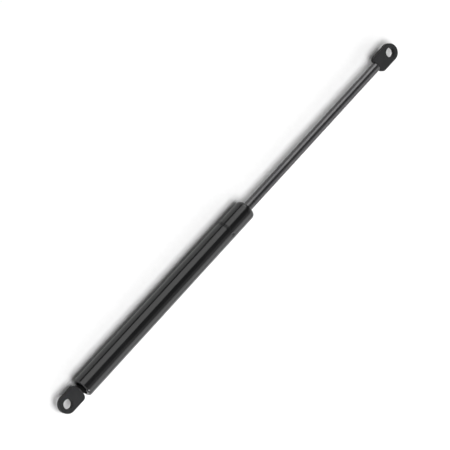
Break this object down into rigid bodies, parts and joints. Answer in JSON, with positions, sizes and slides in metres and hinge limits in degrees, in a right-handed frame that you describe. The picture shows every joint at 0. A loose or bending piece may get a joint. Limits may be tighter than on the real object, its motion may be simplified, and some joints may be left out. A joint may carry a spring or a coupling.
{
  "type": "gas strut stay",
  "caption": "Gas-filled strut with a flat welded eye at each end that pushes a hinged sash, shutter or lid open and damps it; shown fully extended.",
  "frame": {"origin": "centre of the cylinder eye's hole, midway through the plate", "axes": "+X along the strut from the cylinder eye to the rod eye, +Z along the axes of the eye holes, +Y across the strut"},
  "size_m": [0.422, 0.018, 0.018],
  "materials": {
    "black_paint": "gloss black paint on drawn steel tube",
    "dark_rod_steel": "nitrided, oxidised and polished rod steel, dark grey",
    "black_plate": "satin black stamped steel plate",
    "weld_bead": "weld bead under satin black",
    "plug_steel": "turned steel plug, blackened",
    "washer_steel": "bright stamped and turned steel",
    "sintered_steel": "oil-soaked sintered steel",
    "bearing_bronze": "bronze with a low-friction lining",
    "seal_rubber": "black nitrile rubber",
    "guide_plastic": "filled nylon, dark grey",
    "ring_plastic": "filled PTFE, off-white"
  },
  "bodies": {
    "cylinder": {"cylinder_tube": "black_paint", "end_plug": "plug_steel", "end_plug_seal": "seal_rubber", "seal_backup_washer": "washer_steel", "rod_seal": "seal_rubber", "seal_spacer": "guide_plastic", "rod_guide": "sintered_steel", "guide_bush": "bearing_bronze", "guide_seal": "seal_rubber", "rod_wiper": "seal_rubber", "wiper_washer": "washer_steel", "cylinder_eye": "black_plate", "cylinder_eye_weld": "weld_bead"},
    "sliding_ring": {"piston_ring": "ring_plastic"},
    "rod": {"piston_rod": "dark_rod_steel", "piston": "sintered_steel", "orifice_disc": "washer_steel", "piston_washer": "washer_steel", "rivet_washer": "washer_steel", "rebound_ring": "guide_plastic", "rod_eye": "black_plate", "rod_eye_weld": "weld_bead"}
  },
  "joints": [
    {"name": "rod_stroke", "type": "slide", "parent": "cylinder", "child": "sliding_ring", "axis": [1, 0, 0], "range_m": [-0.15, 0], "stiffness_N_per_m": 200, "springref_m": 0.5},
    {"name": "rod_spin", "type": "hinge", "parent": "sliding_ring", "child": "rod", "pos_m": [0.18695, 0, 0], "axis": [1, 0, 0], "continuous": true}
  ]
}
